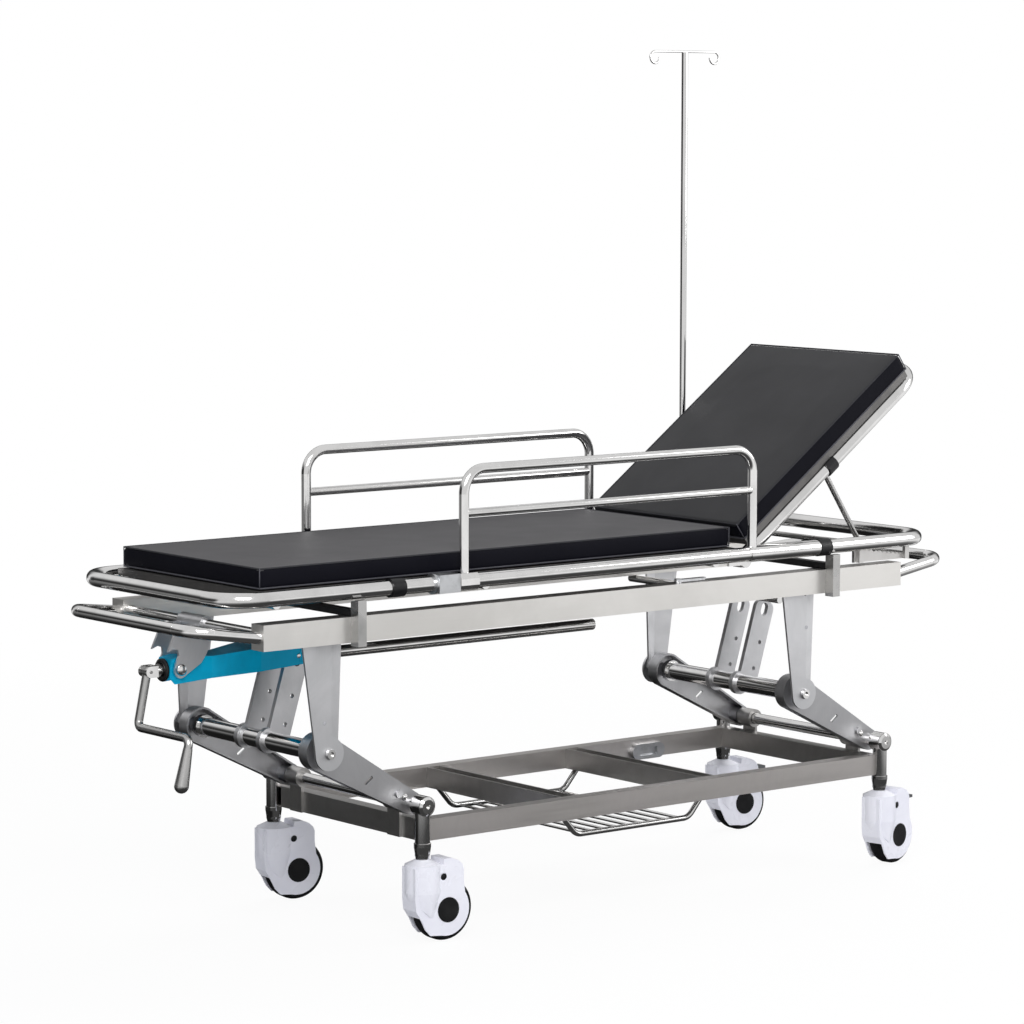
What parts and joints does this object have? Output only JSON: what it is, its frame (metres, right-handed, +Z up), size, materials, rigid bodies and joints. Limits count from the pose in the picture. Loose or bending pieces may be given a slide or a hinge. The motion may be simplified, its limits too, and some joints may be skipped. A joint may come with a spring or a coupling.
{
  "type": "patient transport trolley",
  "caption": "Wheeled patient trolley with a lift-off stretcher, tilting backrest, folding guard rails, crank height lift, infusion pole, wire basket and swivel castors.",
  "frame": {"origin": "On the floor, midway along the whole trolley and on the chassis's centre line.", "axes": "+X along the trolley towards the head end, +Y towards the side with the infusion pole, +Z up. The left side is -Y."},
  "size_m": [2.0044, 0.591, 1.757],
  "materials": {
    "brushed_steel": "satin",
    "bright_tube": "polished",
    "pressed_steel": "satin",
    "fittings": "satin",
    "pedal_metal": "satin",
    "castor_shroud": "gloss",
    "castor_tyre": "matte",
    "drive_paint": "gloss",
    "black_parts": "satin",
    "deck_board": "matte",
    "mattress_cover": "satin"
  },
  "bodies": {
    "base": {"base_side_rails": "brushed_steel", "base_end_rails": "brushed_steel", "base_channels": "brushed_steel", "stems_foot": "bright_tube", "stems_head": "bright_tube", "bearing_blocks": "brushed_steel", "basket_frame": "brushed_steel", "basket_wires": "brushed_steel", "keeper_plate": "fittings"},
    "castor_lf": {"castor_housing_lf": "castor_shroud"},
    "castor_rf": {"castor_housing_rf": "castor_shroud"},
    "castor_lh": {"castor_housing_lh": "castor_shroud"},
    "castor_rh": {"castor_housing_rh": "castor_shroud"},
    "wheel_lf": {"castor_wheel_lf": "castor_tyre"},
    "wheel_rf": {"castor_wheel_rf": "castor_tyre"},
    "wheel_lh": {"castor_wheel_lh": "castor_tyre"},
    "wheel_rh": {"castor_wheel_rh": "castor_tyre"},
    "pedal_left": {"brake_pedal_left": "pedal_metal"},
    "pedal_right": {"brake_pedal_right": "pedal_metal"},
    "foot_arm": {"arms_foot": "pressed_steel", "pivot_shaft_foot": "bright_tube", "elbow_tube_foot": "bright_tube", "levers_foot": "pressed_steel"},
    "head_arm": {"arms_head": "pressed_steel", "pivot_shaft_head": "bright_tube", "elbow_tube_head": "bright_tube", "levers_head": "pressed_steel"},
    "upper_frame": {"chassis_rails": "brushed_steel", "rail_end_caps": "brushed_steel", "leg_plates_foot": "pressed_steel", "leg_plates_head": "pressed_steel", "chassis_tubes": "bright_tube", "bumper_foot": "bright_tube", "bumper_head": "bright_tube", "cradle_beams": "black_parts", "cradle_posts": "bright_tube", "crank_bracket": "brushed_steel"},
    "screw_strut": {"screw_housing": "drive_paint", "screw_tube": "bright_tube"},
    "nut": {"drive_nut": "fittings"},
    "crank": {"crank_shaft": "bright_tube"},
    "folding_handle": {"crank_handle": "bright_tube", "crank_grip": "fittings"},
    "litter": {"litter_frame": "bright_tube", "litter_deck": "deck_board", "seat_pad": "mattress_cover", "side_collars": "black_parts", "guard_latches": "fittings", "prop_rack": "brushed_steel", "pole_socket": "fittings"},
    "latch": {"litter_latch": "fittings"},
    "guard_l": {"guard_left": "bright_tube"},
    "guard_r": {"guard_right": "bright_tube"},
    "backrest": {"backrest_frame": "bright_tube", "backrest_deck": "deck_board", "backrest_pad": "mattress_cover", "prop_collars": "black_parts"},
    "prop": {"backrest_prop": "bright_tube"},
    "pole": {"infusion_pole": "bright_tube"}
  },
  "joints": [
    {"name": "castor_swivel_lf", "type": "hinge", "parent": "base", "child": "castor_lf", "pos_m": [-0.4755, -0.253, 0.165], "axis": [0, 0, 1], "continuous": true},
    {"name": "wheel_spin_lf", "type": "hinge", "parent": "castor_lf", "child": "wheel_lf", "pos_m": [-0.42956, -0.25541, 0.0625], "axis": [0.0523, 0.9986, 0], "continuous": true},
    {"name": "castor_swivel_rf", "type": "hinge", "parent": "base", "child": "castor_rf", "pos_m": [-0.4755, 0.253, 0.165], "axis": [0, 0, 1], "continuous": true},
    {"name": "wheel_spin_rf", "type": "hinge", "parent": "castor_rf", "child": "wheel_rf", "pos_m": [-0.43007, 0.2458, 0.0625], "axis": [0.1564, 0.9877, 0], "continuous": true},
    {"name": "castor_swivel_lh", "type": "hinge", "parent": "base", "child": "castor_lh", "pos_m": [0.7655, -0.253, 0.165], "axis": [0, 0, 1], "continuous": true},
    {"name": "wheel_spin_lh", "type": "hinge", "parent": "castor_lh", "child": "wheel_lh", "pos_m": [0.81049, -0.24344, 0.0625], "axis": [-0.2079, 0.9781, 0], "continuous": true},
    {"name": "castor_swivel_rh", "type": "hinge", "parent": "base", "child": "castor_rh", "pos_m": [0.7655, 0.253, 0.165], "axis": [0, 0, 1], "continuous": true},
    {"name": "wheel_spin_rh", "type": "hinge", "parent": "castor_rh", "child": "wheel_rh", "pos_m": [0.81132, 0.24899, 0.0625], "axis": [0.0872, 0.9962, 0], "continuous": true},
    {"name": "brake_press_left", "type": "hinge", "parent": "castor_lh", "child": "pedal_left", "pos_m": [0.83006, -0.23928, 0.143], "axis": [-0.2079, 0.9781, 0], "range_deg": [0, 12]},
    {"name": "brake_press_right", "type": "hinge", "parent": "castor_rh", "child": "pedal_right", "pos_m": [0.83125, 0.24725, 0.143], "axis": [0.0872, 0.9962, 0], "range_deg": [0, 12]},
    {"name": "height_lift", "type": "hinge", "parent": "base", "child": "foot_arm", "pos_m": [-0.4755, 0, 0.271], "axis": [0, 1, 0], "range_deg": [-22, 10]},
    {"name": "foot_elbow", "type": "hinge", "parent": "foot_arm", "child": "upper_frame", "pos_m": [-0.692, 0, 0.394], "axis": [0, 1, 0], "range_deg": [-12, 24]},
    {"name": "head_elbow", "type": "hinge", "parent": "upper_frame", "child": "head_arm", "pos_m": [0.549, 0, 0.394], "axis": [0, 1, 0], "range_deg": [-24, 12]},
    {"name": "drive_tilt", "type": "hinge", "parent": "upper_frame", "child": "screw_strut", "pos_m": [-0.889, 0, 0.54881], "axis": [0, 1, 0], "range_deg": [-5.6, 3.1]},
    {"name": "nut_travel", "type": "slide", "parent": "screw_strut", "child": "nut", "axis": [1, 0, 0], "range_m": [-0.0635, 0.03]},
    {"name": "crank_turn", "type": "hinge", "parent": "screw_strut", "child": "crank", "pos_m": [-0.91, 0, 0.54881], "axis": [1, 0, 0], "range_deg": [-45, 140]},
    {"name": "crank_fold", "type": "hinge", "parent": "crank", "child": "folding_handle", "pos_m": [-0.947, 0, 0.54881], "axis": [0, 1, 0], "range_deg": [0, 78]},
    {"name": "litter_lift_off", "type": "slide", "parent": "upper_frame", "child": "litter", "axis": [0, 0, 1], "range_m": [0, 0.25]},
    {"name": "litter_latch_turn", "type": "hinge", "parent": "upper_frame", "child": "latch", "pos_m": [0.193, -0.242, 0.658], "axis": [0, 0, 1], "range_deg": [0, 60]},
    {"name": "guard_fold_left", "type": "hinge", "parent": "litter", "child": "guard_l", "pos_m": [-0.022, -0.2645, 0.707], "axis": [1, 0, 0], "range_deg": [0, 160]},
    {"name": "guard_fold_right", "type": "hinge", "parent": "litter", "child": "guard_r", "pos_m": [-0.022, 0.2645, 0.707], "axis": [-1, 0, 0], "range_deg": [0, 160]},
    {"name": "backrest_tilt", "type": "hinge", "parent": "litter", "child": "backrest", "pos_m": [0.378, 0, 0.69], "axis": [0, -1, 0], "range_deg": [-30.8, 7]},
    {"name": "prop_fold", "type": "hinge", "parent": "backrest", "child": "prop", "pos_m": [0.63122, 0, 0.87398], "axis": [0, 1, 0], "range_deg": [-77.9, 18.5]},
    {"name": "pole_height", "type": "slide", "parent": "litter", "child": "pole", "axis": [0, 0, 1], "range_m": [0, 0.05]}
  ],
  "couplings": [
    {"joint": "foot_elbow", "follows": "height_lift", "ratio": -1},
    {"joint": "head_elbow", "follows": "height_lift", "ratio": 1},
    {"joint": "drive_tilt", "follows": "height_lift", "ratio": 0.211},
    {"joint": "nut_travel", "follows": "height_lift", "m_per_rad": 0.1602},
    {"joint": "prop_fold", "follows": "backrest_tilt", "ratio": 2.4953}
  ]
}
